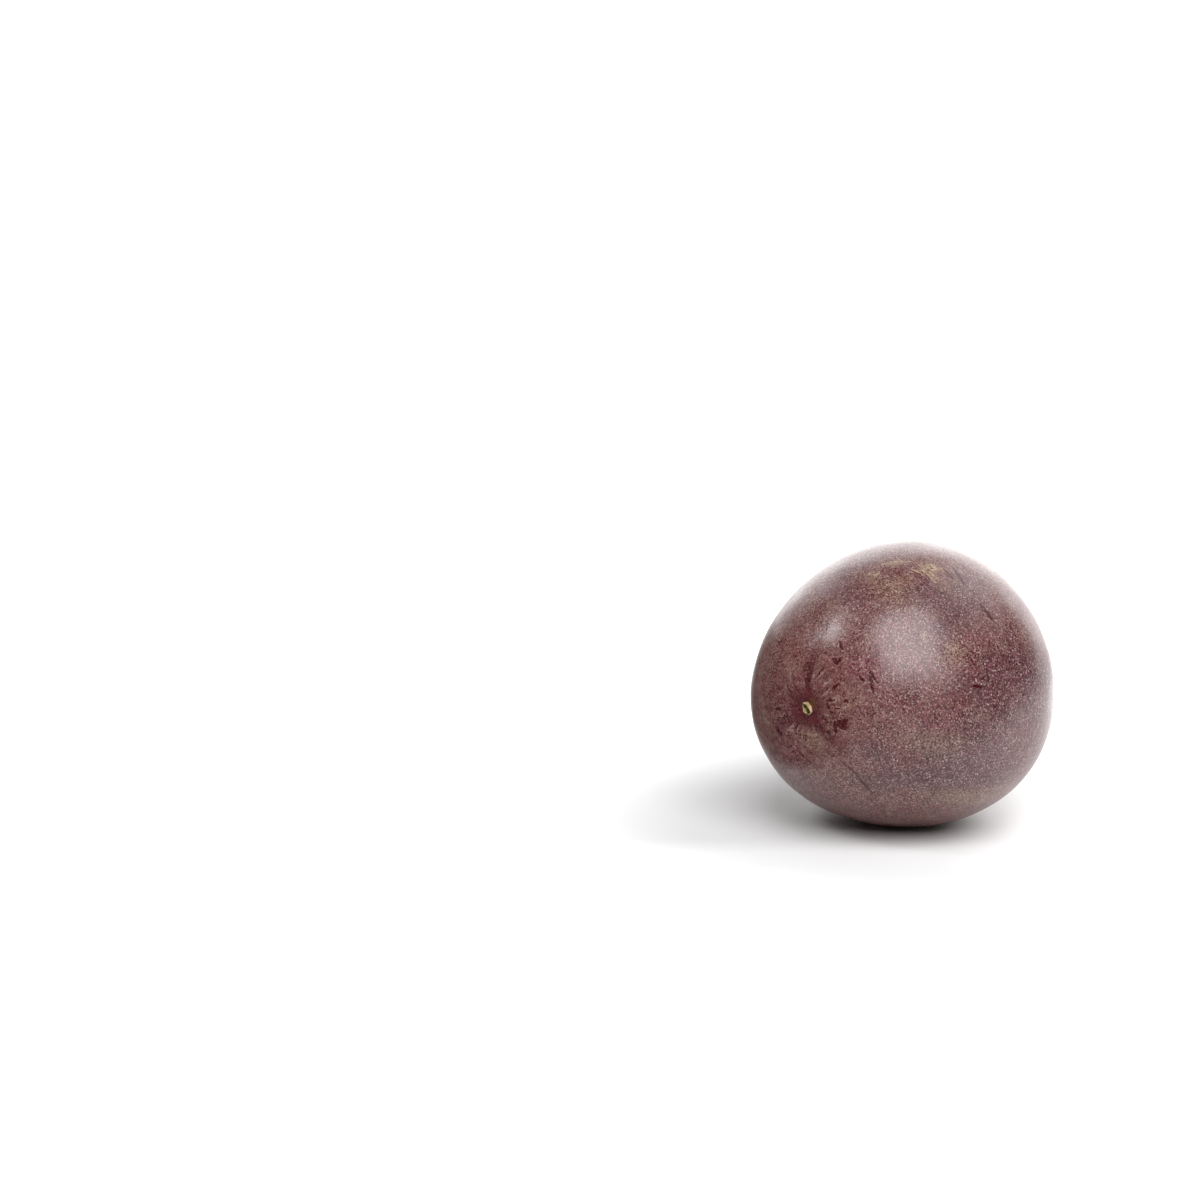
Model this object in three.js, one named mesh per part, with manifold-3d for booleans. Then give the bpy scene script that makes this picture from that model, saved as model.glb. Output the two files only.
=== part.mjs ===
// A ripe purple passion fruit, picked whole and lying on its side.
//
// The fruit grew as one piece, so it is one closed solid: a nearly round berry, a little
// longer than it is wide, whose rind rises in three low keels from the stem end. The short
// stump of the stalk stands in a shallow dimple at the stem end, and the small knob that the
// flower left closes the other. It rests on the flatter side between two of the keels.
//
// Frame: millimetres, +Z up. The origin is the centre of the flat spot that the fruit rests
// on. The stem end points along -Y and the blossom end along +Y.
// On the skin, `polar` is the angle from the stem end and `around` is the angle round the
// stem axis, from +X towards +Z.

import * as THREE from "three";
import { mergeVertices } from "three/addons/utils/BufferGeometryUtils.js";
import Module from "manifold-3d";

// The berry: a ball with a few broad waves added to its radius.
const MEAN_RADIUS = 30.1;
const LENGTH_GAIN = 0.68; // longer from end to end than it is wide
const STEM_GAIN = 0.21; // fuller on the stem half
const OVAL_GAIN = 0.66; // wider across one diameter of the girth
const OVAL_ANGLE = 4;
const KEEL_GAIN = 0.85; // three low keels, one for each carpel
const KEEL_ANGLE = 89.5;
const SKEW_GAIN = 0.45; // the two ends lean opposite ways
const SKEW_ANGLE = 231;
const STEM_RISE = 1.7; // how far the stem end is tipped up as the fruit lies, in degrees

// The stem end: the stump of the stalk, a low collar round a sunken core, in a dimple.
const DIMPLE_DEPTH = 0.45;
const DIMPLE_REACH = 4.5;
const STUMP_RADIUS = 1.5;
const STUMP_HEIGHT = 0.6;
const STUMP_SLOPE = 0.4; // width of the collar's outer wall
const CORE_RADIUS = 0.8;
const CORE_DEPTH = 0.4;

// The blossom end: the knob that the flower's style left, in a fainter dimple.
const BLOSSOM_DIMPLE_DEPTH = 0.3;
const BLOSSOM_DIMPLE_REACH = 3.5;
const KNOB_RADIUS = 0.9;
const KNOB_HEIGHT = 0.4;
const KNOB_SLOPE = 0.5;

// The flat spot that the fruit has settled on.
const REST_DEPTH = 0.32;

// The grid that the skin is worked out on.
const SEGMENTS = 64;
const WIDEST_RING_STEP = 2.4;
const FIRST_RING = 0.4;
const RING_GROWTH = 0.13; // how much wider each step from the end is, per millimetre from it

const RIND = { color: 0x5e4043, roughness: 0.42, metalness: 0 };

/** 1 inside the edge, 0 outside it, and a smooth fall over `slope` at the edge. */
function plateau(distance, edge, slope) {
  return 1 - THREE.MathUtils.smoothstep(distance, edge - slope / 2, edge + slope / 2);
}

/** The cosine of `times` turns round the stem axis, counted from an angle in degrees. */
function wave(around, times, fromAngle) {
  return Math.cos(times * (around - THREE.MathUtils.degToRad(fromAngle)));
}

/** The radius of the berry itself, before its two ends are finished. */
function berryRadius(polar, around) {
  const girth = Math.sin(polar);
  const length = LENGTH_GAIN * Math.cos(2 * polar) + STEM_GAIN * Math.cos(3 * polar);
  const oval = OVAL_GAIN * girth ** 2 * wave(around, 2, OVAL_ANGLE);
  const keels = KEEL_GAIN * girth ** 3 * wave(around, 3, KEEL_ANGLE);
  const skew = SKEW_GAIN * Math.sin(2 * polar) * wave(around, 1, SKEW_ANGLE);
  return MEAN_RADIUS + length + oval + keels + skew;
}

/** What the dimple and the stump add at a distance from the stem end. */
function stemEnd(distance) {
  const dimple = -DIMPLE_DEPTH * Math.exp(-((distance / DIMPLE_REACH) ** 2));
  const collar = STUMP_HEIGHT * plateau(distance, STUMP_RADIUS, STUMP_SLOPE);
  const core = -CORE_DEPTH * plateau(distance, CORE_RADIUS, STUMP_SLOPE);
  return dimple + collar + core;
}

/** What the dimple and the knob add at a distance from the blossom end. */
function blossomEnd(distance) {
  const dimple = -BLOSSOM_DIMPLE_DEPTH * Math.exp(-((distance / BLOSSOM_DIMPLE_REACH) ** 2));
  const knob = KNOB_HEIGHT * plateau(distance, KNOB_RADIUS, KNOB_SLOPE);
  return dimple + knob;
}

/** The radius of the skin in any direction. */
function skinRadius(polar, around) {
  const fromStem = MEAN_RADIUS * polar;
  const fromBlossom = MEAN_RADIUS * (Math.PI - polar);
  return berryRadius(polar, around) + stemEnd(fromStem) + blossomEnd(fromBlossom);
}

/** Polar angles of the rings, close together at both ends and wide at the girth. */
function ringAngles() {
  const half = [0];
  let distance = FIRST_RING;
  while (distance < MEAN_RADIUS * Math.PI / 2) {
    half.push(distance / MEAN_RADIUS);
    distance += Math.min(WIDEST_RING_STEP, FIRST_RING * 0.8 + RING_GROWTH * distance);
  }
  const otherHalf = half.map((angle) => Math.PI - angle).reverse();
  return [...half, ...otherHalf];
}

/** The closed skin about its own centre, with its axis along Y and the stem end at -Y. */
function skinGeometry() {
  const profile = ringAngles().map((polar) => new THREE.Vector2(Math.sin(polar), -Math.cos(polar)));
  const geometry = new THREE.LatheGeometry(profile, SEGMENTS);
  const points = geometry.getAttribute("position");
  const direction = new THREE.Vector3();
  for (let i = 0; i < points.count; i += 1) {
    direction.fromBufferAttribute(points, i).normalize();
    const polar = Math.acos(THREE.MathUtils.clamp(-direction.y, -1, 1));
    const around = Math.atan2(direction.z, direction.x);
    direction.multiplyScalar(skinRadius(polar, around));
    points.setXYZ(i, direction.x, direction.y, direction.z);
  }
  geometry.rotateX(THREE.MathUtils.degToRad(-STEM_RISE));
  return geometry;
}

/** A closed geometry as a solid that can be cut. */
function solidOf(wasm, geometry) {
  geometry.deleteAttribute("normal");
  geometry.deleteAttribute("uv");
  const merged = mergeVertices(geometry, 1e-4);
  return new wasm.Manifold(new wasm.Mesh({
    numProp: 3,
    vertProperties: new Float32Array(merged.getAttribute("position").array),
    triVerts: new Uint32Array(merged.index.array),
  }));
}

/** A solid as a geometry that a mesh can hold. */
function geometryOf(solid) {
  const { vertProperties, triVerts } = solid.getMesh();
  const geometry = new THREE.BufferGeometry();
  geometry.setAttribute("position", new THREE.BufferAttribute(new Float32Array(vertProperties), 3));
  geometry.setIndex(new THREE.BufferAttribute(new Uint32Array(triVerts), 1));
  return geometry;
}

/** Cuts the flat spot and moves the geometry so that the spot's centre is the origin. */
function restOnFlatSpot(wasm, geometry) {
  geometry.computeBoundingBox();
  const restHeight = Math.fround(geometry.boundingBox.min.z + REST_DEPTH);
  const side = 4 * MEAN_RADIUS;
  const below = new THREE.BoxGeometry(side, side, side);
  below.translate(0, 0, restHeight - side / 2);
  const rested = geometryOf(solidOf(wasm, geometry).subtract(solidOf(wasm, below)));

  const spot = new THREE.Box2();
  const points = rested.getAttribute("position");
  for (let i = 0; i < points.count; i += 1) {
    if (points.getZ(i) < restHeight + 1e-3) {
      spot.expandByPoint(new THREE.Vector2(points.getX(i), points.getY(i)));
    }
  }
  const centre = spot.getCenter(new THREE.Vector2());
  rested.translate(-centre.x, -centre.y, -restHeight);
  return rested;
}

const wasm = await Module();
wasm.setup();

const fruit = new THREE.Mesh(restOnFlatSpot(wasm, skinGeometry()), new THREE.MeshStandardMaterial(RIND));
fruit.name = "fruit";

const passionFruit = new THREE.Group();
passionFruit.add(fruit);

export default passionFruit;
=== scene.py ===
"""A ripe purple passion fruit lying on its side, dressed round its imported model.

Units are metres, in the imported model's frame: +Z up, the stem end towards -Y. The sizes
named for the fruit's own pieces are in millimetres, and those of the room are in metres.
"""

import math

import bpy
import numpy as np
from mathutils import Matrix, Vector


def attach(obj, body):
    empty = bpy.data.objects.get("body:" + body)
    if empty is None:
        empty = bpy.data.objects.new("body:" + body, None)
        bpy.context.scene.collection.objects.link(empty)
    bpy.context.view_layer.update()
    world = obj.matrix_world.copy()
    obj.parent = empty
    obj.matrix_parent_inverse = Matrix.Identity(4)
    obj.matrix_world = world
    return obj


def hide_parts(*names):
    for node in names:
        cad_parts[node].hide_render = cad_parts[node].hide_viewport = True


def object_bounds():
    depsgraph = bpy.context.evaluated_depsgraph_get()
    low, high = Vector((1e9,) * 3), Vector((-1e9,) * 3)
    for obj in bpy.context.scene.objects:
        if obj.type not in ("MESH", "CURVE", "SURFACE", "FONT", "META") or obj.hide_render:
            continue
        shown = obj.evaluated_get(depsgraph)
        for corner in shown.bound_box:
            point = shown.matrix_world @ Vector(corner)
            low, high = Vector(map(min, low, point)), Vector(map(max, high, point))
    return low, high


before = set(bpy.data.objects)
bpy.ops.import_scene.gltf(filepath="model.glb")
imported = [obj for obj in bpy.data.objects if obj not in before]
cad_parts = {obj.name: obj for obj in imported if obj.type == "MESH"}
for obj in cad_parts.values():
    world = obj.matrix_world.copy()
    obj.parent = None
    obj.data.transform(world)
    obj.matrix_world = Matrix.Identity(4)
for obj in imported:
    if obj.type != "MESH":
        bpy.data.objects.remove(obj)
cad_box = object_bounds()

# ---------------------------------------------------------------------------------------
# The rind
# The fruit's skin is one leathery, waxy coat that grew with the berry. It is nearly round,
# with three low keels from the stem end, and it ripens from green to a dusty purple that
# keeps pale pores, darker bruises and a few corky patches.
# ---------------------------------------------------------------------------------------

MM = 0.001
MEAN_RADIUS = 30.1
LENGTH_GAIN = 0.68
STEM_GAIN = 0.21
OVAL_GAIN, OVAL_ANGLE = 0.66, 4.0
KEEL_GAIN, KEEL_ANGLE = 0.85, 89.5
SKEW_GAIN, SKEW_ANGLE = 0.45, 231.0
STEM_RISE = 1.7
DIMPLE_DEPTH, DIMPLE_REACH = 0.45, 4.5
FAR_DIMPLE_DEPTH, FAR_DIMPLE_REACH = 0.3, 3.5

RINGS, SPOKES = 250, 384
RING_PLACES = (0, 0.12, 0.5, 0.9, 1)
RING_CROWDING = (4.5, 2.6, 1.0, 1.1, 2.5)

# Each seam's angle round the stem axis, in degrees, and its strength.
SEAMS = [(92.0, 1.0), (214.0, 0.5), (314.0, 0.75)]
SEAM_DEPTH, SEAM_WIDTH, SEAM_SPREAD, SEAM_REACH = 0.12, 0.75, 0.05, 12.5
WAVE_COUNT, WAVE_DEPTH = 14, 0.018
WAVE_LENGTHS = (7.0, 20.0)


def closed_mesh(name, points, start, end):
    """A closed mesh from a grid of points, rings by spokes by 3, and one point at each end.
    Each ring joins the next with quads, and each end is closed with a fan of triangles. The
    faces point outwards where the spokes turn the way of a screw that is driven from the
    last ring to the first."""
    rings, spokes, _ = points.shape
    here = np.arange(spokes)
    after = (here + 1) % spokes
    row = np.arange(rings - 1)[:, None] * spokes
    quads = np.stack([row + here, row + spokes + here, row + spokes + after, row + after], -1)
    last = (rings - 1) * spokes
    first_fan = np.stack([np.full(spokes, rings * spokes), here, after], -1)
    last_fan = np.stack([np.full(spokes, rings * spokes + 1), last + after, last + here], -1)
    mesh = bpy.data.meshes.new(name)
    vertices = np.concatenate([points.reshape(-1, 3), [start, end]])
    faces = quads.reshape(-1, 4).tolist() + first_fan.tolist() + last_fan.tolist()
    mesh.from_pydata(vertices.tolist(), [], faces)
    mesh.polygons.foreach_set("use_smooth", np.ones(len(mesh.polygons), bool))
    mesh.update()
    piece = bpy.data.objects.new(name, mesh)
    bpy.context.scene.collection.objects.link(piece)
    return piece


def paint(piece, name, field):
    """Keep a field, one number or one vector for each point of the grid, as an attribute.
    The two end points take the middle value of the ring beside them."""
    size = 3 if field.ndim == 3 else 1
    grid = field.reshape(len(field), -1, size)
    values = np.concatenate([grid.reshape(-1, size), grid[:1].mean(1), grid[-1:].mean(1)])
    kind, part = ("FLOAT_VECTOR", "vector") if size == 3 else ("FLOAT", "value")
    attribute = piece.data.attributes.new(name, kind, "POINT")
    attribute.data.foreach_set(part, values.astype(np.float32).ravel())


def wave(around, times, from_angle):
    """The cosine of so many turns round the stem axis, counted from an angle in degrees."""
    return np.cos(times * (around - math.radians(from_angle)))


def berry_radius(polar, around):
    """The berry before its ends are finished: a ball, plus waves for its length, its oval
    girth, its three keels and the lean of its two ends."""
    girth = np.sin(polar)
    length = LENGTH_GAIN * np.cos(2 * polar) + STEM_GAIN * np.cos(3 * polar)
    oval = OVAL_GAIN * girth**2 * wave(around, 2, OVAL_ANGLE)
    keels = KEEL_GAIN * girth**3 * wave(around, 3, KEEL_ANGLE)
    skew = SKEW_GAIN * np.sin(2 * polar) * wave(around, 1, SKEW_ANGLE)
    return MEAN_RADIUS + length + oval + keels + skew


def facing(polar, around):
    """The unit direction from the fruit's centre, with the stem end at -Y."""
    return np.stack(
        [np.sin(polar) * np.cos(around), -np.cos(polar) + 0 * around, np.sin(polar) * np.sin(around)], -1
    )


def mark_axes(polar, around, turn):
    """The direction of a mark on the skin, and its two axes along and across it. Turn is
    counted from the line away from the stem towards the way that angles round it grow."""
    polar, around, turn = math.radians(polar), math.radians(around), math.radians(turn)
    middle = facing(np.array(polar), np.array(around))
    outward = facing(np.array(polar + math.pi / 2), np.array(around))
    sideways = np.cross(middle, outward)
    along = outward * math.cos(turn) + sideways * math.sin(turn)
    return middle, along, np.cross(middle, along)


def closeness(polar, around, length, width, turn=0.0):
    """How near each point of the skin is to a mark: 1 at its middle and falling as a bell,
    over its half length and half width in millimetres."""
    middle, along, across = mark_axes(polar, around, turn)
    ahead, aside = directions @ along * MEAN_RADIUS, directions @ across * MEAN_RADIUS
    return np.exp(-((ahead / length) ** 2) - (aside / width) ** 2) * (directions @ middle > 0)


def seam_closeness(polar, around):
    """How near each place is to one of the three seams: a band that widens a little and
    fades as it leaves the stem end."""
    distance = MEAN_RADIUS * polar
    nearest = np.zeros_like(polar + around)
    for angle, strength in SEAMS:
        turn = np.angle(np.exp(1j * (around - math.radians(angle))))
        aside = MEAN_RADIUS * np.sin(polar) * turn
        band = strength * np.exp(-((aside / (SEAM_WIDTH + SEAM_SPREAD * distance)) ** 2))
        nearest = np.maximum(nearest, band)
    return nearest * np.exp(-((distance / SEAM_REACH) ** 2))


def gentle_waves(directions):
    """The slight unevenness of a grown skin: plane waves in random directions, added up."""
    draw = np.random.default_rng(7)
    height = np.zeros(directions.shape[:-1])
    for _ in range(WAVE_COUNT):
        heading = draw.normal(size=3)
        heading /= np.linalg.norm(heading)
        turns = 2 * math.pi * MEAN_RADIUS / draw.uniform(*WAVE_LENGTHS)
        height += WAVE_DEPTH * np.cos(turns * (directions @ heading) + draw.uniform(0, 2 * math.pi))
    return height


def skin_radius(polar, around):
    """The finished skin: the berry, less a dimple at each end and the three seams, plus the
    gentle waves."""
    from_stem = MEAN_RADIUS * polar
    from_blossom = MEAN_RADIUS * (math.pi - polar)
    return (
        berry_radius(polar, around)
        - DIMPLE_DEPTH * np.exp(-((from_stem / DIMPLE_REACH) ** 2))
        - FAR_DIMPLE_DEPTH * np.exp(-((from_blossom / FAR_DIMPLE_REACH) ** 2))
        - SEAM_DEPTH * seam_closeness(polar, around)
        + gentle_waves(facing(polar, around))
    )


tip = np.array(Matrix.Rotation(math.radians(-STEM_RISE), 3, "X"))
centre = np.zeros(3)


def on_skin(polar, around):
    """The point of the skin at each pair of angles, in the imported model's frame."""
    reach = skin_radius(polar, around)[..., None] * MM
    return (facing(polar, around) * reach) @ tip.T + centre


# The rings crowd together at the two ends, where the smallest marks are. The skin is then
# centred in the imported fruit's box, with its top level with the box's, and its lowest skin
# pressed flat on the table.
steps = 1 / np.interp(np.linspace(0, 1, RINGS), RING_PLACES, RING_CROWDING)
polar = (np.cumsum(steps) / (np.sum(steps) + steps[0]) * math.pi)[:, None]
around = (np.arange(SPOKES) / SPOKES * 2 * math.pi)[None, :]
directions = facing(polar, around)
skin = on_skin(polar, around)
low, high = skin.reshape(-1, 3).min(0), skin.reshape(-1, 3).max(0)
cad_low, cad_high = np.array(cad_box[0]), np.array(cad_box[1])
centre = (cad_low + cad_high - low - high) / 2
centre[2] = cad_high[2] - high[2]
skin += centre
skin[..., 2] = np.maximum(skin[..., 2], 0)
ends = on_skin(np.array([0, math.pi]), np.zeros(2))
rind = closed_mesh("rind", skin, ends[0], ends[1])

# Where the ripening left its colours. Each mark has its angle from the stem end, its angle
# round from +X towards +Z, its half length and half width in millimetres, its turn and its
# strength, with the angles in degrees.
PLUM = [
    (89, 13, 9, 6.5, 10, 1.0),
    (76, 20, 8, 4, 10, 0.35),
    (74, 47, 8, 6, 30, 0.5),
    (29, 333, 4, 3, 0, 0.5),
    (82, 336, 7, 5, 0, 0.45),
    (107, 5, 8, 8, 0, 0.8),
    (69, 11, 3.2, 1.5, -17, 0.75),
    (64, 66, 7, 4, 70, 0.15),
    (63, 41, 4, 2.5, 0, 0.5),
    (35, 45, 3, 3, 0, 0.45),
    (58, 352, 7, 3.5, 30, 0.1),
    (46, 336, 9, 4, 20, 0.2),
    (62, 340, 10, 4, 10, 0.2),
    (77, 1, 9, 7, 20, 0.45),
    (66, 352, 5, 4, 0, 0.15),
    (50, 352, 9, 6, 0, 0.15),
    (66, 336, 8, 5, 10, 0.35),
    (50, 325, 9, 6, 0, 0.25),
    (120, 130, 12, 8, 20, 0.7),
    (95, 190, 9, 12, 60, 0.6),
    (140, 250, 9, 9, 0, 0.6),
]
MAGENTA = [
    (29, 38, 5, 4, 80, 0.6),
    (39, 11, 7, 3.5, 5, 0.45),
    (52, 357, 6, 3, 10, 0.6),
    (27, 340, 4, 3, 0, 0.45),
    (20, 245, 6, 5, 0, 0.75),
    (34, 44, 4, 3, 0, 0.4),
    (80, 150, 9, 6, 0, 0.6),
    (110, 230, 9, 6, 30, 0.6),
]
VIOLET = [
    (74, 47, 8, 6, 30, 0.6),
    (92, 30, 6, 5, 0, 0.5),
    (69, 60, 5, 4, 0, 0.4),
    (48, 90, 9, 4, 80, 0.5),
    (42, 318, 10, 3, 35, 0.75),
    (72, 331, 12, 2.6, 10, 0.8),
    (66, 58, 6, 3, 30, 0.35),
    (86, 52, 6, 5, 60, 0.45),
    (140, 40, 10, 6, 0, 0.6),
    (70, 240, 10, 5, 40, 0.6),
]
TAN = [
    (54, 347, 6, 3.5, 0, 0.9),
    (40, 347, 5, 2.5, 0, 0.35),
    (68, 322, 12, 3.5, 5, 0.7),
    (56, 74, 9, 3.5, 80, 0.55),
    (34, 52, 4, 4, 0, 0.4),
    (41, 94, 3, 3, 0, 0.5),
    (64, 70, 3, 2, 0, 0.7),
    (62, 28, 3.5, 3, 0, 0.8),
    (19, 20, 5, 4, 0, 0.35),
    (11, 275, 3, 3, 0, 0.7),
    (23, 204, 3, 3, 0, 0.5),
    (20, 248, 5, 4, 0, 0.45),
    (80, 322, 6, 3, 0, 0.5),
    (20, 128, 7, 5, 60, 0.3),
    (101, 26, 6, 4, 40, 0.45),
    (35, 290, 7, 5, 0, 0.3),
    (110, 80, 10, 7, 20, 0.6),
    (150, 160, 9, 7, 0, 0.7),
    (100, 290, 10, 8, 0, 0.5),
]
BRUISED = [
    (19, 216, 2.3, 1.6, 117, 0.32),
    (21, 238, 3.2, 1.5, 38, 0.24),
    (15, 30, 4, 2.5, 100, 0.4),
    (69, 11, 2.6, 1.2, -17, 0.6),
    (84, 40, 2.6, 1.5, -80, 0.42),
    (83, 61, 2.4, 1.6, -105, 0.42),
    (27, 30, 2.8, 1.4, -100, 0.45),
    (9, 170, 3.5, 3, 0, 0.3),
    (100, 200, 4, 2, 30, 0.6),
    (130, 100, 3, 2, 80, 0.6),
    (150, 300, 3, 1.6, 10, 0.6),
]
CORKY = [
    (60, 84, 1.5, 1.1, -77, 0.75),
    (70, 81, 2.8, 0.9, -44, 0.8),
    (79, 69, 2.2, 1.1, -60, 1.0),
    (76, 64, 3.2, 1.3, -91, 0.6),
    (13, 288, 1.8, 1.2, 42, 0.35),
    (120, 60, 4, 1.5, 20, 0.8),
    (95, 140, 3, 2, 100, 0.8),
    (125, 210, 3.5, 1.6, -30, 0.8),
    (75, 268, 2.5, 1.5, 60, 0.7),
]


def gathered(marks):
    """The sum of a list of marks, each as strong as its last number."""
    return sum(strength * closeness(*place) for *place, strength in marks)


# The fields that the finish reads. The streak field is a place on a narrow cylinder round the
# stem axis, so that random patches on it are drawn out along the fruit.
OCHRE_SPOT = (3.4, 42, 1.0, 1.4)
STREAK_RADIUS, STREAK_STRETCH = 4.0, 5.0
from_stem = MEAN_RADIUS * polar + 0 * around
from_blossom = MEAN_RADIUS * (math.pi - polar) + 0 * around
spread = [np.cos(around) * STREAK_RADIUS, np.sin(around) * STREAK_RADIUS, from_stem / STREAK_STRETCH]
paint(rind, "from_stem", from_stem)
paint(rind, "from_blossom", from_blossom)
paint(rind, "streak", np.stack(np.broadcast_arrays(*spread), -1))
paint(rind, "seam", seam_closeness(polar, around))
paint(rind, "ochre", closeness(*OCHRE_SPOT))
paint(rind, "plum", gathered(PLUM))
paint(rind, "magenta", gathered(MAGENTA))
paint(rind, "violet", gathered(VIOLET))
paint(rind, "tan", gathered(TAN))
paint(rind, "bruised", gathered(BRUISED))
paint(rind, "corky", gathered(CORKY))

# Dark blots, short dark nicks and thin raised cork lines, as the marks above but for their
# strength.
BLOTS = [
    (15.4, 344, 1.1, 0.7, -20),
    (13.4, 337, 1.2, 0.32, -62),
    (16.4, 350, 0.7, 0.4, 60),
    (21, 64, 0.75, 0.45, -103),
    (19, 215, 0.8, 0.5, 100),
    (68, 12, 0.8, 0.34, -17),
]
NICKS = [
    (35, 305, 3.6, 0.24, -9),
    (27, 307, 1.8, 0.22, 6),
    (20, 264, 1.7, 0.17, 59),
    (28, 28, 1.9, 0.27, -101),
    (29.5, 30, 1.2, 0.22, -85),
    (25, 33, 0.7, 0.26, -70),
    (27, 69, 1.0, 0.25, -119),
    (22.5, 61, 0.5, 0.27, 0),
    (15, 41, 0.75, 0.25, -1),
    (15, 74, 1, 0.19, -14),
    (11, 24, 0.8, 0.3, -10),
    (9.5, 12, 0.7, 0.2, -75),
    (17, 16, 0.5, 0.28, -22),
    (15, 190, 0.8, 0.22, 177),
    (11, 148, 0.85, 0.15, 173),
    (19, 214, 0.7, 0.34, 100),
    (18, 222, 0.6, 0.27, 30),
    (9.3, 131, 0.8, 0.11, 5),
    (13, 7, 0.6, 0.15, 0),
    (11.6, 14, 0.45, 0.14, -40),
    (9.3, 338, 0.9, 0.12, -8),
    (11, 254, 0.7, 0.1, 0),
    (11, 266, 0.5, 0.1, 10),
    (8.7, 237, 0.6, 0.14, 0),
    (12, 203, 0.6, 0.17, 30),
    (8.3, 299, 0.7, 0.09, 5),
    (10.7, 311, 0.6, 0.1, -5),
    (82, 62, 1.2, 0.42, -100),
    (86, 60, 2.0, 0.36, -109),
    (86, 40, 1.9, 0.42, -80),
    (68, 12, 1.0, 0.3, -17),
    (76, 98, 0.6, 0.3, -113),
    (104, 185, 2.2, 0.3, 40),
    (126, 102, 1.6, 0.4, 80),
    (150, 296, 1.4, 0.35, 15),
    (160, 120, 1.2, 0.3, 0),
]
CORK_LINES = [
    (79, 67, 1.0, 0.13, -20),
    (80, 69, 0.9, 0.14, -90),
    (78, 70, 1.2, 0.11, -55),
    (77, 71, 1.3, 0.12, -70),
    (76, 66, 2.6, 0.11, -86),
    (74, 65, 2.4, 0.10, -98),
    (72, 70, 1.9, 0.10, -80),
    (75, 69, 1.0, 0.10, -30),
    (73, 79, 2.0, 0.12, -50),
    (72, 81, 1.4, 0.10, -35),
    (69, 83, 1.2, 0.12, -30),
    (60, 84, 0.9, 0.16, -77),
    (61, 82, 0.6, 0.14, -10),
    (120, 62, 3.0, 0.2, 15),
    (118, 56, 2.0, 0.16, 35),
    (96, 142, 2.2, 0.2, 100),
    (125, 208, 2.5, 0.18, -30),
]

# How deep a mark's oval goes into the skin, in millimetres, and where in it the mark begins
# and is full.
MARK_THROUGH = MEAN_RADIUS / 10
MARK_EDGE, MARK_CORE = 0.25, 0.80


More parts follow.
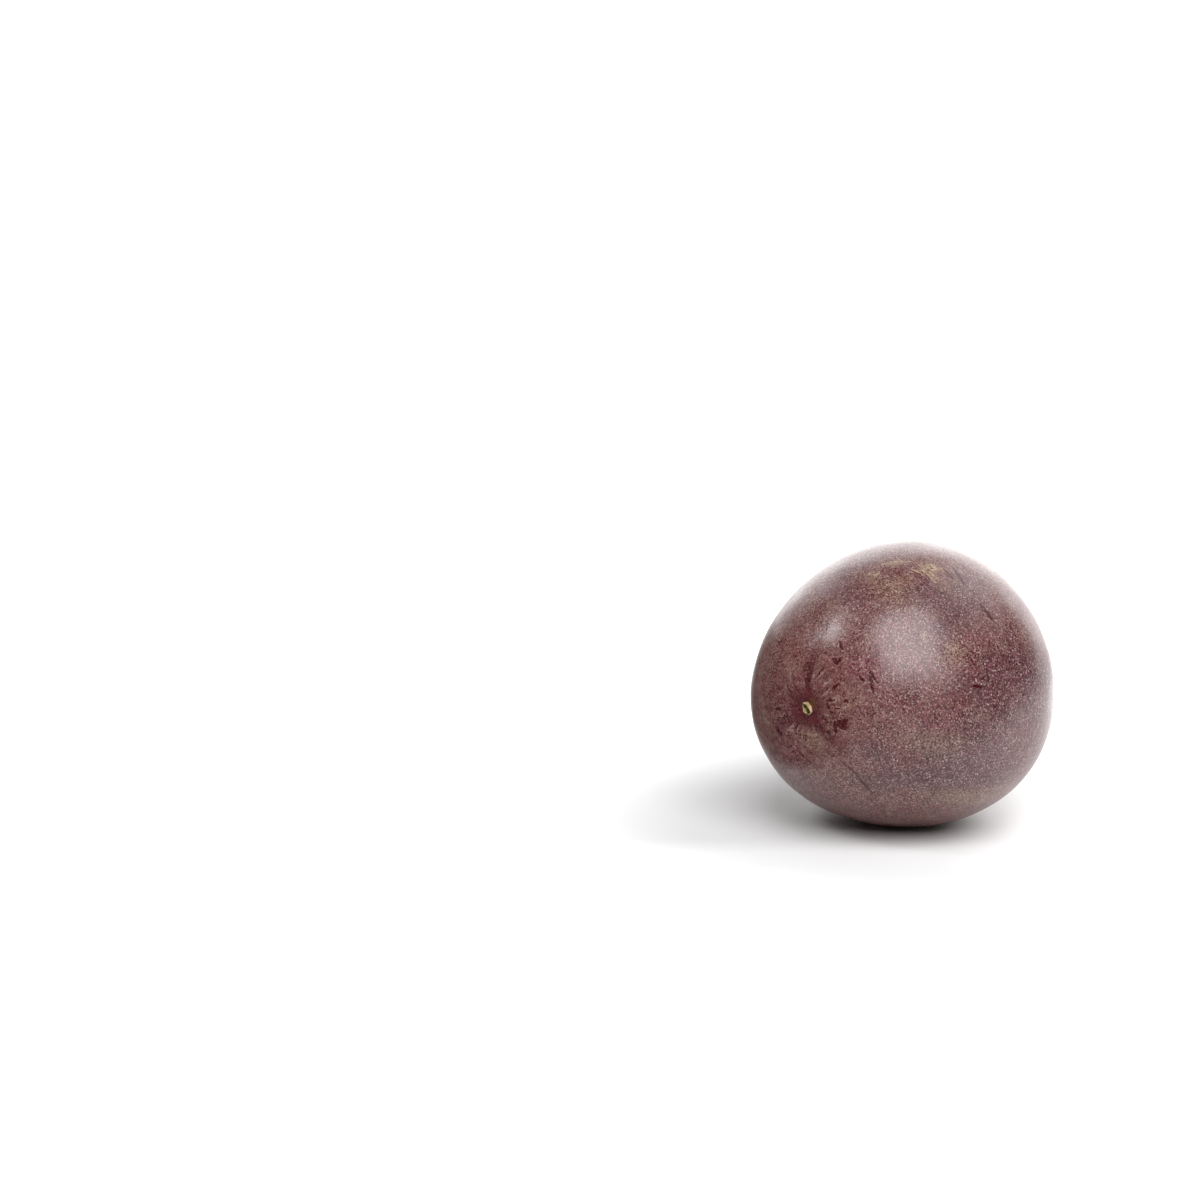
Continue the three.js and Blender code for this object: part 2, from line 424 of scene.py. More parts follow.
class Finish:
    """The nodes of a material, or of the room, as they are made up. Each method adds one kind
    of node, whose sockets take a number or another node's output, and hands back what the
    node gives."""

    def __init__(self, tree):
        self.tree = tree
        self.coordinates = self.add("ShaderNodeTexCoord", {})
        self.place = self.coordinates.outputs["Object"]

    def join(self, value, socket):
        if isinstance(value, bpy.types.NodeSocket):
            self.tree.links.new(value, socket)
        else:
            socket.default_value = value

    def add(self, kind, sockets, **settings):
        node = self.tree.nodes.new(kind)
        for name, value in settings.items():
            setattr(node, name, value)
        for socket, value in sockets.items():
            self.join(value, node.inputs[socket])
        return node

    def field(self, name, part="Fac"):
        return self.add("ShaderNodeAttribute", {}, attribute_name=name).outputs[part]

    def maths(self, work, first, second=0.0):
        return self.add("ShaderNodeMath", {0: first, 1: second}, operation=work).outputs[0]

    def product(self, *values):
        total = values[0]
        for value in values[1:]:
            total = self.maths("MULTIPLY", total, value)
        return total

    def total(self, *values):
        total = values[0]
        for value in values[1:]:
            total = self.maths("ADD", total, value)
        return total

    def ramp(self, value, low, high, start=0.0, end=1.0):
        """A smooth climb from start, where the value is low, to end, where it is high."""
        sockets = {"Value": value, "From Min": low, "From Max": high, "To Min": start, "To Max": end}
        return self.add("ShaderNodeMapRange", sockets, interpolation_type="SMOOTHSTEP").outputs[0]

    def cloud(self, size, where=None, detail=2.0, unit=MM, part="Fac"):
        """Smooth random patches of about this size in millimetres, around one half."""
        sockets = {"Vector": where or self.place, "Scale": 1 / (size * unit), "Detail": detail}
        return self.add("ShaderNodeTexNoise", sockets).outputs[part]

    def cells(self, size, where=None, feature="F1"):
        """Random cells of about this size in millimetres, as one Voronoi node."""
        sockets = {"Vector": where or self.place, "Scale": 1 / (size * MM)}
        return self.add("ShaderNodeTexVoronoi", sockets, feature=feature)

    def coat(self, under, over, amount, kind="MIX"):
        """One colour laid over another."""
        node = self.add("ShaderNodeMix", {0: amount}, data_type="RGBA", blend_type=kind)
        self.join(under, node.inputs[6])
        self.join(over, node.inputs[7])
        return node.outputs[2]

    def ragged(self, size, reach):
        """The place, pushed about by up to a reach in millimetres, for torn edges. The last
        node only hands it on as a point: a long list of marks that each had to turn it into
        one would be more than the renderer has room for."""
        push = self.cloud(size, detail=3.0, part="Color")
        scaled = self.add("ShaderNodeVectorMath", {0: push, 1: (0.5,) * 3}, operation="SUBTRACT")
        sockets = {0: scaled.outputs[0], 3: 2 * reach * MM}
        moved = self.add("ShaderNodeVectorMath", sockets, operation="SCALE")
        pushed = self.add("ShaderNodeVectorMath", {0: self.place, 1: moved.outputs[0]})
        return self.add("ShaderNodeMapping", {"Vector": pushed.outputs[0]}).outputs[0]

    def scratches(self, marks, where, reach=1.5):
        """Small ovals on the skin, whichever is nearest: 0 from so many times their size,
        and climbing smoothly to 1 well inside."""
        nearest = 0.0
        for angle, turn_round, length, width, turn in marks:
            middle, along, across = (tip @ axis for axis in mark_axes(angle, turn_round, turn))
            point = on_skin(np.array(math.radians(angle)), np.array(math.radians(turn_round)))
            axes = Matrix(np.stack([along, across, middle], -1).tolist()).to_euler()
            sockets = {
                "Vector": where,
                "Location": tuple(point),
                "Rotation": tuple(axes),
                "Scale": (reach * length * MM, reach * width * MM, MARK_THROUGH * MM),
            }
            local = self.add("ShaderNodeMapping", sockets, vector_type="TEXTURE").outputs[0]
            inside = self.add("ShaderNodeTexGradient", {"Vector": local}, gradient_type="SPHERICAL")
            nearest = self.maths("MAXIMUM", inside.outputs["Fac"], nearest)
        depth = 1 - 1 / reach
        return self.ramp(nearest, MARK_EDGE * depth, MARK_CORE * depth)

    def relief(self, height):
        """Low relief from a height in millimetres."""
        return self.add("ShaderNodeBump", {"Height": height, "Strength": 1.0, "Distance": MM}).outputs[0]

    def along(self, direction):
        """How far each place lies along a direction from the middle."""
        sockets = {0: self.place, 1: direction}
        return self.add("ShaderNodeVectorMath", sockets, operation="DOT_PRODUCT").outputs["Value"]

    def dress(self, **sockets):
        """Join the shader's own sockets, named with _ for a space."""
        for name, value in sockets.items():
            self.join(value, self.tree.nodes["Principled BSDF"].inputs[name.replace("_", " ")])


def new_finish(piece):
    """A new material on a piece, to be made up."""
    material = bpy.data.materials.new(piece.name)
    material.use_nodes = True
    piece.data.materials.append(material)
    return Finish(material.node_tree)


MAUVE = (0.105, 0.0285, 0.030, 1)
ROSY_BROWN = (0.132, 0.043, 0.039, 1)
PLUM_COLOUR = (0.060, 0.013, 0.019, 1)
MAGENTA_COLOUR = (0.147, 0.034, 0.046, 1)
VIOLET_COLOUR = (0.092, 0.035, 0.041, 1)
TAN_COLOUR = (0.166, 0.087, 0.062, 1)
CRIMSON = (0.065, 0.001, 0.006, 1)
OCHRE = (0.105, 0.048, 0.010, 1)
BRUISE_COLOUR = (0.044, 0.0, 0.002, 1)
PORE_COLOUR = (0.465, 0.36, 0.33, 1)
CORK_COLOUR = (0.50, 0.37, 0.22, 1)
SCAB_COLOUR = (0.085, 0.042, 0.026, 1)

# The coats that the zones are laid in, and how fully each one covers.
ZONE_EDGE = (0.12, 0.85)
ZONE_COATS = [
    ("tan", TAN_COLOUR, 0.85),
    ("violet", VIOLET_COLOUR, 0.75),
    ("magenta", MAGENTA_COLOUR, 0.6),
    ("plum", PLUM_COLOUR, 0.72),
]

# Where each finish starts and ends, in millimetres from the stem end or the blossom end.
HALO_EDGE = (1.6, 5.7)
OLD_SKIN_EDGE, OLD_SCAB_EDGE = (2.0, 6.5), (0.9, 2.8)
STREAKS_START, STREAKS_END, PALE_STREAKS_START = (1.8, 3.5), (5.5, 10.5), (3.0, 6.0)
FAR_STREAKS_START, FAR_STREAKS_END = (0.5, 2.0), (3.5, 7.5)
COARSE_SKIN_EDGE = (4.0, 34.0)
STEM_PORES_EDGE, BLOSSOM_PORES_EDGE = (2.5, 18.0), (1.0, 9.0)

# The size of a cell, the dot's radius as a share of it and the share of cells left faint.
LARGE_PORES = (0.60, 0.25, 0.25)
SMALL_PORES = (0.38, 0.34, 0.05)

# The sizes of the random patches that the finish is broken up by, in millimetres.
TORN_SIZE, TORN_REACH = 0.55, 0.36
GROUND_SIZE, PATCH_SIZE, HUE_SIZE, BLOTCH_SIZE, GRAIN_SIZE = 22.0, 6.0, 2.4, 1.6, 0.34
NICK_SIZE, BLOT_SIZE, STREAK_SIZE, SWELL_SIZE = 0.7, 0.5, 0.55, 1.5
CORK_NET_SIZE, CORK_STREAK_SIZE, CORK_FLECK_SIZE = 1.1, 0.8, 0.6

# Low relief in millimetres, and how rough the wax is.
SWELL_HEIGHT, GRAIN_HEIGHT, PORE_HEIGHT, CORK_HEIGHT = 0.030, 0.016, 0.010, 0.05
NICK_DEPTH, BRUISE_DEPTH, STREAK_DEPTH = 0.03, 0.012, 0.02
WAX_ROUGHNESS, WAX_SHINE = 0.32, 0.75
GRAIN_ROUGHNESS, PATCH_ROUGHNESS, CORK_ROUGHNESS = 0.25, 0.20, 0.22
NICK_SMOOTHNESS = 0.12

finish = new_finish(rind)
torn = finish.ragged(TORN_SIZE, TORN_REACH)
patchy = finish.cloud(PATCH_SIZE, detail=4.0)
blotchy = finish.cloud(BLOTCH_SIZE, detail=3.0)
grain = finish.cloud(GRAIN_SIZE, detail=2.0)
hue = finish.cloud(HUE_SIZE, detail=3.0)
stem_away = finish.field("from_stem")

# The ripe ground colour drifts between two shades, and the zones lie over it.
drift = finish.ramp(finish.cloud(GROUND_SIZE, detail=3.0), 0.35, 0.65)
ground = finish.coat(MAUVE, ROSY_BROWN, drift)
ragged_edge = finish.total(finish.product(patchy, 0.7), finish.product(blotchy, 0.5), -0.6)


def zone(name):
    """A zone's field broken up by the patches, from 0 outside to 1 well inside."""
    strength = finish.field(name)
    broken = finish.total(strength, finish.product(ragged_edge, finish.ramp(strength, 0.0, 0.3), 1.2))
    return finish.ramp(broken, *ZONE_EDGE)


for name, colour, cover in ZONE_COATS:
    ground = finish.coat(ground, colour, finish.product(zone(name), cover))
ground = finish.coat(ground, MAGENTA_COLOUR, finish.ramp(hue, 0.52, 0.72, 0.0, 0.30))
ground = finish.coat(ground, TAN_COLOUR, finish.ramp(hue, 0.48, 0.30, 0.0, 0.35))
ground = finish.coat(ground, PLUM_COLOUR, finish.ramp(patchy, 0.55, 0.75, 0.0, 0.35))

# Round the stem the skin stays crimson, in a ragged halo and along the three seams, with a
# small ochre spot beside the stump.
halo = finish.ramp(finish.total(stem_away, finish.product(ragged_edge, -3.0)), *HALO_EDGE, 1.0, 0.0)
ground = finish.coat(ground, CRIMSON, finish.product(halo, 0.92))
ground = finish.coat(ground, CRIMSON, finish.product(finish.ramp(finish.field("seam"), 0.0, 0.7), 0.85))
ground = finish.coat(ground, OCHRE, finish.ramp(finish.field("ochre"), 0.25, 1.0, 0.0, 0.7))

# Round the knob the skin is old and tan, with brown scab against the knob itself.
blossom_away = finish.total(finish.field("from_blossom"), finish.product(ragged_edge, -2.5))
ground = finish.coat(ground, TAN_COLOUR, finish.ramp(blossom_away, *OLD_SKIN_EDGE, 0.7, 0.0))
ground = finish.coat(ground, SCAB_COLOUR, finish.ramp(blossom_away, *OLD_SCAB_EDGE, 0.9, 0.0))

# Streaks run out from both ends, dark ones with fainter pale ones between them.
streaks = finish.cloud(STREAK_SIZE, where=finish.field("streak", "Vector"), detail=3.0, unit=1.0)
dark_streaks = finish.ramp(streaks, 0.54, 0.68)
streak_zone = finish.total(
    finish.product(
        finish.ramp(stem_away, *STREAKS_START),
        finish.ramp(stem_away, *STREAKS_END, 1.0, 0.0),
    ),
    finish.product(
        finish.ramp(blossom_away, *FAR_STREAKS_START),
        finish.ramp(blossom_away, *FAR_STREAKS_END, 0.8, 0.0),
    ),
)
ground = finish.coat(ground, CRIMSON, finish.product(dark_streaks, streak_zone, 0.9))
pale_streaks = finish.product(finish.ramp(streaks, 0.47, 0.36), streak_zone)
pale_streaks = finish.product(pale_streaks, finish.ramp(stem_away, *PALE_STREAKS_START))
ground = finish.coat(ground, PORE_COLOUR, finish.product(pale_streaks, 0.22))

# The skin's fine grain, lighter and darker, which shows more in green and blue than in red.
shade = finish.total(
    finish.product(finish.total(grain, -0.5), finish.ramp(stem_away, *COARSE_SKIN_EDGE, 4.0, 4.7)),
    finish.product(finish.total(blotchy, -0.5), 1.2),
    finish.product(finish.total(patchy, -0.5), 0.5),
    1.0,
)
deep = finish.maths("MAXIMUM", finish.total(finish.product(shade, 1.75), -0.75), 0.10)
shade = finish.maths("MAXIMUM", shade, 0.35)
tone = finish.add("ShaderNodeCombineColor", {0: shade, 1: deep, 2: deep}).outputs[0]
ground = finish.coat(ground, tone, 1.0, "MULTIPLY")


def pores(size, radius, share):
    """Pale round pores: the middle of each random cell, as bright as the cell's own number
    where that is over a share, and fainter near the two ends."""
    cell = finish.cells(size, torn)
    dot = finish.ramp(cell.outputs["Distance"], radius * 0.4, radius * 1.5, 1.0, 0.0)
    luck = finish.add("ShaderNodeSeparateColor", {0: cell.outputs["Color"]}).outputs[0]
    bright = finish.ramp(luck, share, 1.0, 0.12, 1.0)
    near_stem = finish.ramp(stem_away, *STEM_PORES_EDGE, 0.2, 1.0)
    near_blossom = finish.ramp(blossom_away, *BLOSSOM_PORES_EDGE, 0.15, 1.0)
    return finish.product(dot, bright, finish.product(near_stem, near_blossom))


large_pores = pores(*LARGE_PORES)
small_pores = pores(*SMALL_PORES)
ground = finish.coat(ground, PORE_COLOUR, finish.product(large_pores, 0.86))
ground = finish.coat(ground, PORE_COLOUR, finish.product(small_pores, 0.74))

# Bruises, nicks and blots are broken up by clouds, so that no edge is smooth.
rough_edge = finish.total(finish.product(blotchy, 1.1), finish.product(grain, 0.6), -0.85)
bruise = finish.ramp(finish.total(finish.field("bruised"), finish.product(rough_edge, 0.9)), 0.42, 0.62)
bruise = finish.product(bruise, finish.ramp(finish.field("bruised"), 0.05, 0.2))
nick = finish.scratches(NICKS, torn)
nick_gaps = finish.cloud(NICK_SIZE, where=torn, detail=3.0)
nick = finish.product(nick, finish.ramp(nick_gaps, 0.36, 0.50, 0.5, 1.0))
blot = finish.scratches(BLOTS, torn, 1.35)
blot_gaps = finish.cloud(BLOT_SIZE, where=torn, detail=3.0)
blot = finish.product(blot, finish.ramp(blot_gaps, 0.36, 0.48, 0.65, 1.0))
nick = finish.product(finish.maths("MAXIMUM", nick, blot), finish.ramp(grain, 0.38, 0.58, 1.0, 0.92))
ground = finish.coat(ground, BRUISE_COLOUR, finish.product(bruise, 0.55))
ground = finish.coat(ground, BRUISE_COLOUR, nick)

# Cork is a net of pale threads with brown flecks between, and the cork lines on their own.
corky = finish.field("corky")
streaky = finish.cloud(CORK_STREAK_SIZE, where=torn, detail=3.0)
threads = finish.cells(CORK_NET_SIZE, torn, "DISTANCE_TO_EDGE").outputs["Distance"]
net = finish.ramp(threads, 0.03, 0.16, 1.0, 0.0)
flecks = finish.ramp(finish.cloud(CORK_FLECK_SIZE, where=torn, detail=3.0), 0.52, 0.64)
scab = finish.product(finish.ramp(corky, 0.15, 0.8), flecks)
cork = finish.product(corky, net, 0.65)
cork_line = finish.scratches(CORK_LINES, torn)
cork_line = finish.product(cork_line, finish.ramp(streaky, 0.40, 0.56, 0.15, 1.0))
cork = finish.maths("MINIMUM", finish.maths("MAXIMUM", cork, cork_line), 1.0)
ground = finish.coat(ground, SCAB_COLOUR, finish.product(scab, 0.7))
ground = finish.coat(ground, CORK_COLOUR, finish.product(cork, 0.85))

height = finish.total(
    finish.product(finish.cloud(SWELL_SIZE, detail=2.0), SWELL_HEIGHT),
    finish.product(grain, GRAIN_HEIGHT),
    finish.product(large_pores, PORE_HEIGHT),
    finish.product(nick, -NICK_DEPTH),
    finish.product(bruise, -BRUISE_DEPTH),
    finish.product(cork, CORK_HEIGHT),
    finish.product(dark_streaks, streak_zone, -STREAK_DEPTH),
)
roughness = finish.total(
    WAX_ROUGHNESS,
    finish.product(finish.total(grain, -0.5), GRAIN_ROUGHNESS),
    finish.product(finish.total(patchy, -0.5), PATCH_ROUGHNESS),
    finish.product(nick, -NICK_SMOOTHNESS),
    finish.product(cork, CORK_ROUGHNESS),
)
finish.dress(
    Base_Color=ground,
    Roughness=roughness,
    Normal=finish.relief(height),
    Specular_IOR_Level=WAX_SHINE,
)

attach(rind, "root")
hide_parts("fruit")

# ---------------------------------------------------------------------------------------
# The stalk stump
# Where the stalk broke off, a low collar of cream, dead stalk stands out of the dimple. Its
# rim is torn, and two green sap pits go into it with a bridge of pith between them.
# ---------------------------------------------------------------------------------------

STUMP_RADIUS, STUMP_HEIGHT, STUMP_ROOT = 1.22, 0.55, 0.9
STUMP_FLARE, STUMP_OVAL, STUMP_LEAN = 0.12, 0.86, 0.22
STUMP_RINGS, STUMP_SPOKES = 64, 112
PROFILE_STEPS, TOP_FADE = (0, 0.55, 0.62, 0.82, 1), 0.64
TOP_SHARE, SHOULDER_SHARE = 0.94, 0.8
TEAR_COUNT, TEAR_DEPTH = 9, 0.035
OUTLINE_TEAR, RIM_TEAR = 0.5, 1.6
RIM_PLACE, RIM_WIDTH, RIM_HEIGHT, FACE_DEPTH = 0.86, 0.28, 0.10, 0.08
MIDDLE_DEPTH = 0.1

# The sap pits and the nub of pith: across and up on the stump's face, size and depth or
# height.
SAP_PITS = [(-0.46, 0.36, 0.48, 0.42), (0.20, -0.56, 0.56, 0.50)]
PITH_NUB = (0.0, 0.85, 0.40, 0.24)


def blunt_end(across, flare, height, root, rings):
    """The profile of a low boss, from the middle of its top to the middle of its hidden
    underside: how far out each ring is, how high, and whether it is on the top."""
    step = np.linspace(0, 1, rings + 2)[1:-1, None]
    out = np.interp(step, PROFILE_STEPS, [0, across * TOP_SHARE, across, across + flare, 0])
    up = np.interp(step, PROFILE_STEPS, [height, height, height * SHOULDER_SHARE, -root, -root])
    return out, up, np.interp(step, [0, PROFILE_STEPS[1], TOP_FADE], [1, 1, 0])


def torn_rim(angles, draw):
    """The unevenness of a torn rim: waves round the collar, each with a random size."""
    ups = np.zeros_like(angles)
    for times in range(2, 2 + TEAR_COUNT):
        ups += TEAR_DEPTH * draw.normal() * np.cos(times * angles + draw.uniform(0, 2 * math.pi))
    return ups


def end_frame(end):
    """The axes at an end of the fruit, +1 for the blossom end and -1 for the stem end: the
    first stays level, the second goes up and the third points out of the fruit."""
    out = tip @ np.array([0.0, end, 0.0])
    level = np.array([1.0, 0.0, 0.0])
    return np.stack([level, np.cross(level, out) * end, out])


draw = np.random.default_rng(11)
spin = (np.arange(STUMP_SPOKES) / STUMP_SPOKES * 2 * math.pi)[None, :]
out, up, on_top = blunt_end(STUMP_RADIUS, STUMP_FLARE, STUMP_HEIGHT, STUMP_ROOT, STUMP_RINGS)
out = out * (1 + OUTLINE_TEAR * torn_rim(spin, draw))
level, rise = out * np.cos(spin), out * np.sin(spin)


def face_bell(across, above, size):
    """A round bell on the stump's face: 1 at its middle and falling over its size."""
    return np.exp(-(((level - across) ** 2 + (rise - above) ** 2) / size**2))


pit = sum(face_bell(*place) for *place, _ in SAP_PITS)
sunk = sum(depth * face_bell(*place) for *place, depth in SAP_PITS)
nub = PITH_NUB[3] * face_bell(*PITH_NUB[:3])
rim = np.exp(-(((out - RIM_PLACE * STUMP_RADIUS) / RIM_WIDTH) ** 2))
torn_up = rim * torn_rim(spin, draw) * RIM_TEAR
up = up + on_top * (RIM_HEIGHT * rim + nub - sunk - FACE_DEPTH + torn_up)
foot = ends[0] / MM
axes = end_frame(-1)
level = level * STUMP_OVAL - rise * STUMP_LEAN
points = (level[..., None] * axes[0] + rise[..., None] * axes[1] + up[..., None] * axes[2] + foot) * MM
top_middle = (axes[2] * (STUMP_HEIGHT - MIDDLE_DEPTH) + foot) * MM
base_middle = (axes[2] * -STUMP_ROOT + foot) * MM
stump = closed_mesh("stalk_stump", points, top_middle, base_middle)
paint(stump, "pit", pit * on_top)
paint(stump, "standing", up)

STRAW = (0.36, 0.26, 0.12, 1)
CREAM = (0.62, 0.44, 0.28, 1)
SAP_GREEN = (0.036, 0.032, 0.001, 1)
OLIVE = (0.13, 0.11, 0.022, 1)
DRY_BROWN = (0.16, 0.08, 0.035, 1)
FIBRE_HEIGHT = 0.05

finish = new_finish(stump)
fibres = finish.cloud(0.22, detail=4.0)
broad = finish.cloud(0.9, detail=2.0)
colour = finish.coat(STRAW, CREAM, finish.ramp(broad, 0.45, 0.65))
colour = finish.coat(colour, DRY_BROWN, finish.ramp(fibres, 0.55, 0.75, 0.0, 0.55))
# Painted shade: darker brown where the stump stands low, in its pits and low on its sides.
colour = finish.coat(colour, DRY_BROWN, finish.ramp(finish.field("standing"), 0.30, 0.0, 0.0, 0.8))
pitted = finish.total(finish.field("pit"), finish.product(finish.total(fibres, -0.5), 0.5))
colour = finish.coat(colour, OLIVE, finish.ramp(pitted, 0.08, 0.35))
colour = finish.coat(colour, SAP_GREEN, finish.ramp(pitted, 0.38, 0.65))
finish.dress(
    Base_Color=colour,
    Roughness=finish.ramp(fibres, 0.3, 0.7, 0.8, 0.95),
    Normal=finish.relief(finish.product(fibres, FIBRE_HEIGHT)),
)

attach(stump, "root")

# ---------------------------------------------------------------------------------------
# The blossom knob
# At the far end the dry foot of the flower's style is left as a small brown knob, ribbed
# and sunk at its tip, grown into the rind.
# ---------------------------------------------------------------------------------------

KNOB_RADIUS, KNOB_HEIGHT, KNOB_ROOT, KNOB_FLARE = 0.78, 0.44, 0.7, 0.25
KNOB_RIBS, RIB_WIDTH, RIB_HEIGHT = 5, 0.05, 0.06
KNOB_TEAR = 0.9
KNOB_CROWN, KNOB_SUNK = 0.14, 0.12
TIP_DEPTH, TIP_SIZE = 0.34, 0.26
KNOB_FIBRE_HEIGHT = 0.04

draw = np.random.default_rng(23)
out, up, on_top = blunt_end(KNOB_RADIUS, KNOB_FLARE, KNOB_HEIGHT, KNOB_ROOT, STUMP_RINGS)
out = out * (1 + RIB_WIDTH * np.cos(KNOB_RIBS * spin) + KNOB_TEAR * torn_rim(spin, draw))
crown = KNOB_CROWN * np.clip(1 - (out / KNOB_RADIUS) ** 2, 0, 1)
rib = RIB_HEIGHT * np.cos(KNOB_RIBS * spin) * np.clip(out / KNOB_RADIUS, 0, 1)
tip_pit = TIP_DEPTH * np.exp(-((out / TIP_SIZE) ** 2))
up = up + on_top * (crown - tip_pit - KNOB_SUNK + rib)
level, rise = out * np.cos(spin), out * np.sin(spin)
foot = ends[1] / MM
axes = end_frame(1)
points = (level[..., None] * axes[0] - rise[..., None] * axes[1] + up[..., None] * axes[2] + foot) * MM
top_middle = (axes[2] * (KNOB_HEIGHT + KNOB_CROWN - TIP_DEPTH - KNOB_SUNK) + foot) * MM
base_middle = (axes[2] * -KNOB_ROOT + foot) * MM
knob = closed_mesh("blossom_knob", points, top_middle, base_middle)
paint(knob, "standing", up)

finish = new_finish(knob)
fibres = finish.cloud(0.2, detail=4.0)
colour = finish.coat(DRY_BROWN, STRAW, finish.ramp(fibres, 0.48, 0.75, 0.0, 0.6))
# The knob is darker where it stands low: in the pit at its tip and down its sides.
colour = finish.coat(colour, BRUISE_COLOUR, finish.ramp(finish.field("standing"), 0.36, 0.12, 0.0, 0.85))
finish.dress(
    Base_Color=colour,
    Roughness=finish.ramp(fibres, 0.3, 0.7, 0.55, 0.8),
    Normal=finish.relief(finish.product(fibres, KNOB_FIBRE_HEIGHT)),
)

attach(knob, "root")

# ---------------------------------------------------------------------------------------
# The table and the light
# A white sheet in a white room, which glows more away from the fruit and on its right, so that a shadow
# is painted on its left. A large soft box above the camera is the main light, with a small one on the
# left, one behind and a fill on the right. The room is dark low on the left, where the fruit's own
# colour shows up to its edge.
# ---------------------------------------------------------------------------------------

CAMERA_TURN = 42.06

turn = math.radians(CAMERA_TURN)
rightward = np.array([math.cos(turn), math.sin(turn), 0.0])
backward = np.array([-math.sin(turn), math.cos(turn), 0.0])


def soft_box(name, turn, rise, distance, width, height, power):
    """A rectangular area light aimed at the fruit. Turn is counted from the camera's side
    to the right and rise from the horizon, in degrees."""
    light = bpy.data.lights.new(name, "AREA")
    light.shape = "RECTANGLE"
    light.size, light.size_y = width, height
    light.energy = power
    lamp = bpy.data.objects.new(name, light)
    bpy.context.scene.collection.objects.link(lamp)
    way, climb = math.radians(CAMERA_TURN + turn), math.radians(rise)
    back = Vector((math.sin(way) * math.cos(climb), -math.cos(way) * math.cos(climb), math.sin(climb)))
    lamp.location = Vector(centre) + back * distance
    lamp.rotation_euler = back.to_track_quat("Z", "Y").to_euler()
    return lamp


soft_box("key_box", turn=12, rise=50, distance=0.8, width=0.62, height=0.74, power=6.9)
soft_box("side_box", turn=-84, rise=47, distance=0.9, width=0.06, height=0.24, power=1.4)
soft_box("back_box", turn=126, rise=45, distance=0.9, width=0.50, height=0.42, power=1.2)
fill_box = soft_box("fill_box", turn=90, rise=38, distance=0.9, width=0.40, height=0.40, power=1.5)
fill_box.visible_glossy = False

# The room's light: brightest behind the fruit and dim low on the left. The edges are shares
# of a heading: backwards, to the right, with the left below 0, and up. The camera itself sees
# plain white.
ROOM_FRONT, ROOM_BACK, ROOM_LEFT = 0.09, 2.9, 0.03
BACK_EDGE, LEFT_EDGE, LOW_EDGE = (0.50, 0.95), (-0.28, -0.60), (0.60, 0.25)
WHITE = (1, 1, 1, 1)

world = bpy.data.worlds.new("white_room")
bpy.context.scene.world = world
world.use_nodes = True
room = Finish(world.node_tree)
turned = room.add(
    "ShaderNodeMapping",
    {"Vector": room.coordinates.outputs["Generated"], "Rotation": (0, 0, -turn)},
    vector_type="POINT",
)
heading = room.add("ShaderNodeSeparateXYZ", {"Vector": turned.outputs[0]}).outputs
behind = room.ramp(heading["Y"], *BACK_EDGE, ROOM_FRONT, ROOM_BACK)
dimmed = room.product(room.ramp(heading["X"], *LEFT_EDGE), room.ramp(heading["Z"], *LOW_EDGE))
strength = room.add("ShaderNodeMix", {0: dimmed, 2: behind, 3: ROOM_LEFT}).outputs[0]
lit = world.node_tree.nodes["Background"]
room.join(WHITE, lit.inputs["Color"])
room.join(strength, lit.inputs["Strength"])
seen = room.add("ShaderNodeBackground", {"Color": WHITE}).outputs[0]
in_camera = room.add("ShaderNodeLightPath", {}).outputs["Is Camera Ray"]
choose = room.add("ShaderNodeMixShader", {0: in_camera, 1: lit.outputs[0], 2: seen})
room.join(choose.outputs[0], world.node_tree.nodes["World Output"].inputs["Surface"])

SHEET_REACH = 15.0
SHEET_GREY, BLACK = (0.74, 0.74, 0.74, 1), (0, 0, 0, 1)

# The sheet's glow stands for the light that a wide white sheet and room throw back. Close
# to the fruit it is left off on the left, which paints a shadow there, and a lift in front
# that only the camera sees paints the light edge of its shadow. Edges are in metres away
# from the fruit, to its right or beyond it, seen from the camera.
OPEN_EDGE, OPEN_GLOW = (0.040, 0.095), 0.62
RIGHT_EDGE, RIGHT_GLOW = (0.005, 0.036), 0.44
FRONT_EDGE, FRONT_PAINTED_LIFT = (-0.014, -0.028), 0.16
BEYOND_EDGE, BEYOND_GLOW = (0.03, 0.12), 2.0
BEYOND_LEFT_EDGE, BEYOND_RIGHT_EDGE = (-0.02, 0.03), (0.20, 0.12)
WIDE_EDGE, WIDE_GLOW = (0.25, 1.5), 0.9
SHINE_EDGE, SHINE_HELD_BACK = (-0.035, -0.08), 0.7

sheet_mesh = bpy.data.meshes.new("sheet")
corners = [(-1, -1), (1, -1), (1, 1), (-1, 1)]
sheet_mesh.from_pydata([(x * SHEET_REACH, y * SHEET_REACH, 0) for x, y in corners], [], [(0, 1, 2, 3)])
table = bpy.data.objects.new("sheet", sheet_mesh)
bpy.context.scene.collection.objects.link(table)
finish = new_finish(table)
aside, beyond = finish.along(rightward), finish.along(backward)
away = finish.add("ShaderNodeVectorMath", {0: finish.place}, operation="LENGTH").outputs["Value"]
path = finish.add("ShaderNodeLightPath", {}).outputs
in_camera = path["Is Camera Ray"]
unseen = finish.maths("SUBTRACT", 1.0, in_camera)
far_off = finish.ramp(away, *OPEN_EDGE)
near_by = finish.maths("SUBTRACT", 1.0, far_off)
glow = finish.total(
    finish.product(far_off, OPEN_GLOW),
    finish.product(near_by, finish.ramp(aside, *RIGHT_EDGE), RIGHT_GLOW),
    # Painted light: a lift of the sheet in front of the fruit, seen by the camera alone.
    finish.product(near_by, finish.ramp(beyond, *FRONT_EDGE), in_camera, FRONT_PAINTED_LIFT),
)

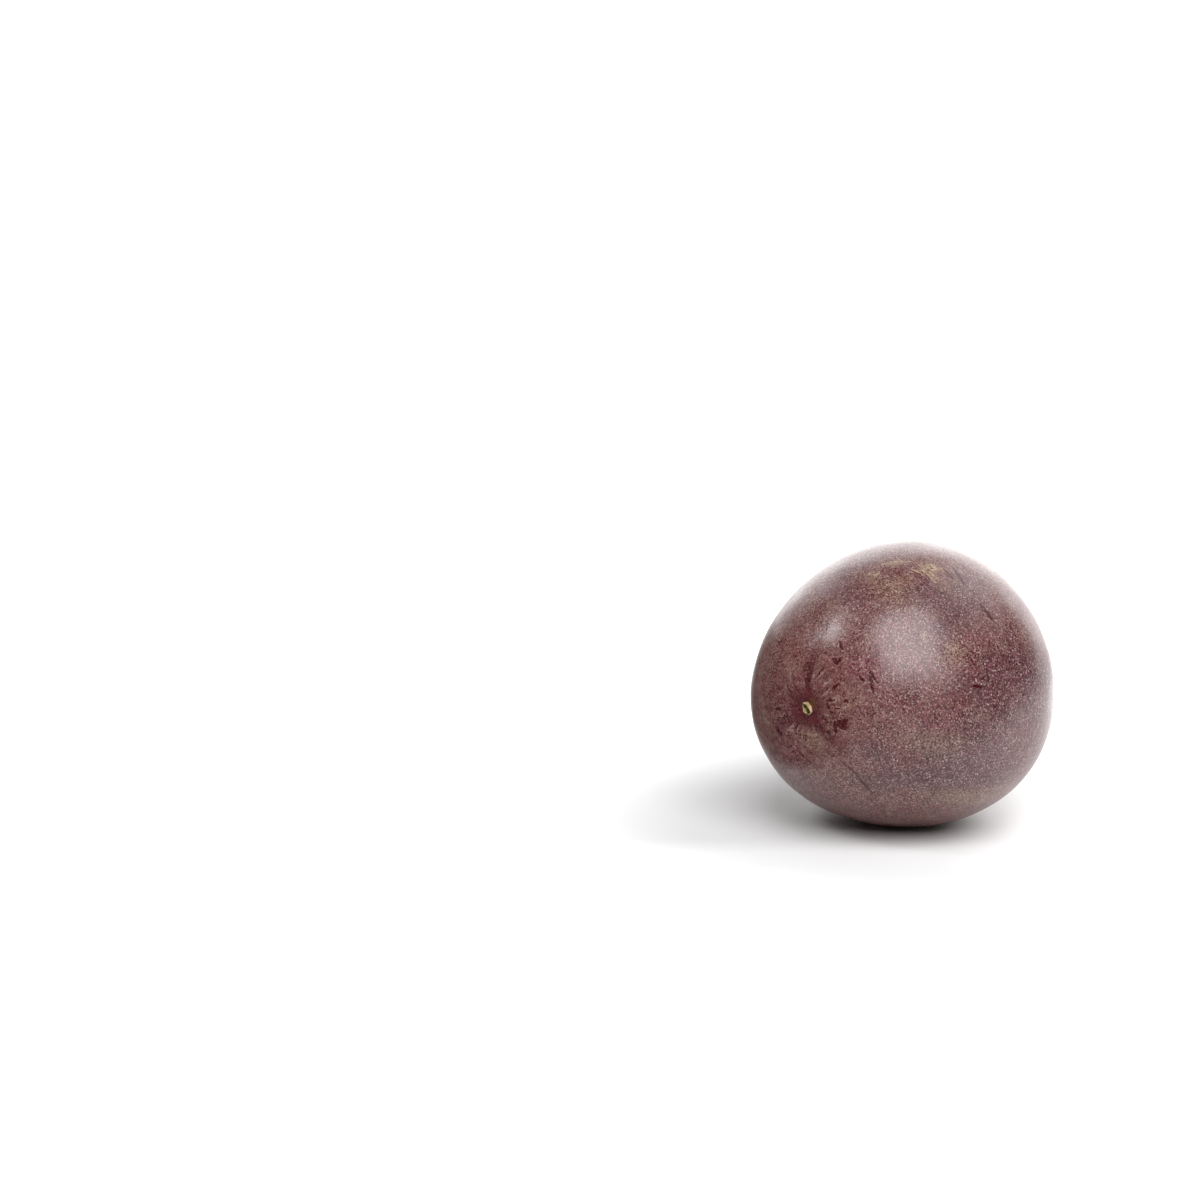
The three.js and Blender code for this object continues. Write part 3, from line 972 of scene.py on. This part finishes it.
# The bright band beyond the fruit lights its gloss and shade and is out of the camera's own
# sight, and the fruit's shine shows little of the sheet in front.
far_glow = finish.product(
    finish.ramp(beyond, *BEYOND_EDGE, 0.0, BEYOND_GLOW),
    finish.ramp(aside, *BEYOND_LEFT_EDGE),
    finish.ramp(aside, *BEYOND_RIGHT_EDGE),
    unseen,
)
shine = finish.ramp(beyond, *SHINE_EDGE, 0.0, SHINE_HELD_BACK)
held_back = finish.product(path["Is Glossy Ray"], shine)
glow = finish.total(glow, far_glow, finish.ramp(away, *WIDE_EDGE, 0.0, WIDE_GLOW))
finish.dress(
    Base_Color=finish.coat(SHEET_GREY, BLACK, held_back),
    Roughness=0.9,
    Specular_IOR_Level=0.0,
    Emission_Color=WHITE,
    Emission_Strength=finish.product(glow, finish.maths("SUBTRACT", 1.0, held_back)),
)

# A dark card stands on the left and is seen only in the fruit's gloss, where it keeps the
# white sheet's shine off the left edge.
CARD_ASIDE, CARD_FRONT, CARD_TOP = -0.035, -0.10, 0.043
CARD_BACK_LOW, CARD_BACK_HIGH = 0.004, 0.070
CARD_LEAN = -0.009
CARD_GREY = (0.13, 0.11, 0.10, 1)

near = rightward * CARD_ASIDE + backward * CARD_FRONT
far_low = rightward * CARD_ASIDE + backward * CARD_BACK_LOW
far_high = rightward * CARD_ASIDE + backward * CARD_BACK_HIGH
lift = rightward * CARD_LEAN + np.array([0.0, 0.0, CARD_TOP])
card_mesh = bpy.data.meshes.new("dark_card")
card_mesh.from_pydata([near, far_low, far_high + lift, near + lift], [], [(0, 1, 2, 3)])
card = bpy.data.objects.new("dark_card", card_mesh)
bpy.context.scene.collection.objects.link(card)
finish = new_finish(card)
finish.dress(Base_Color=CARD_GREY, Roughness=0.9, Specular_IOR_Level=0.0)
card.visible_camera = False
card.visible_diffuse = False
card.visible_shadow = False
bpy.context.scene.view_settings.view_transform = "Standard"

# ---------------------------------------------------------------------------------------
# The camera
# A long lens from the stem's side, a little above the table, that leaves the fruit low and
# to the right of the frame's middle.
# ---------------------------------------------------------------------------------------

IMAGE_SIDE = 1200
SENSOR = 36.0
OUTLINE_WIDTH, OUTLINE_PIXELS = 0.062, 304.5
CAMERA_DISTANCE, CAMERA_RISE = 0.70, 12.5
CENTRE_ACROSS, CENTRE_DOWN = 901.6, 687.7

# The fruit's middle lies off the middle of the frame, so the camera is tipped down by its
# rise less the angle at which the fruit lies below its axis.
focal_pixels = OUTLINE_PIXELS / OUTLINE_WIDTH * CAMERA_DISTANCE
right = (CENTRE_ACROSS - IMAGE_SIDE / 2) / focal_pixels
down = (CENTRE_DOWN - IMAGE_SIDE / 2) / focal_pixels
to_fruit = Vector((right, -down, -1)).normalized()
pitch = math.asin(math.sin(math.radians(CAMERA_RISE)) / math.hypot(to_fruit.y, to_fruit.z))
pitch -= math.atan2(-to_fruit.y, -to_fruit.z)
camera_data = bpy.data.cameras.new("camera")
camera_data.sensor_width = SENSOR
camera_data.lens = focal_pixels * SENSOR / IMAGE_SIDE
camera_data.clip_start, camera_data.clip_end = 0.01, 100.0
camera = bpy.data.objects.new("camera", camera_data)
camera.rotation_euler = (math.pi / 2 - pitch, 0, math.radians(CAMERA_TURN))
camera.location = Vector(centre) - camera.rotation_euler.to_matrix() @ to_fruit * CAMERA_DISTANCE
bpy.context.scene.collection.objects.link(camera)
bpy.context.scene.camera = camera
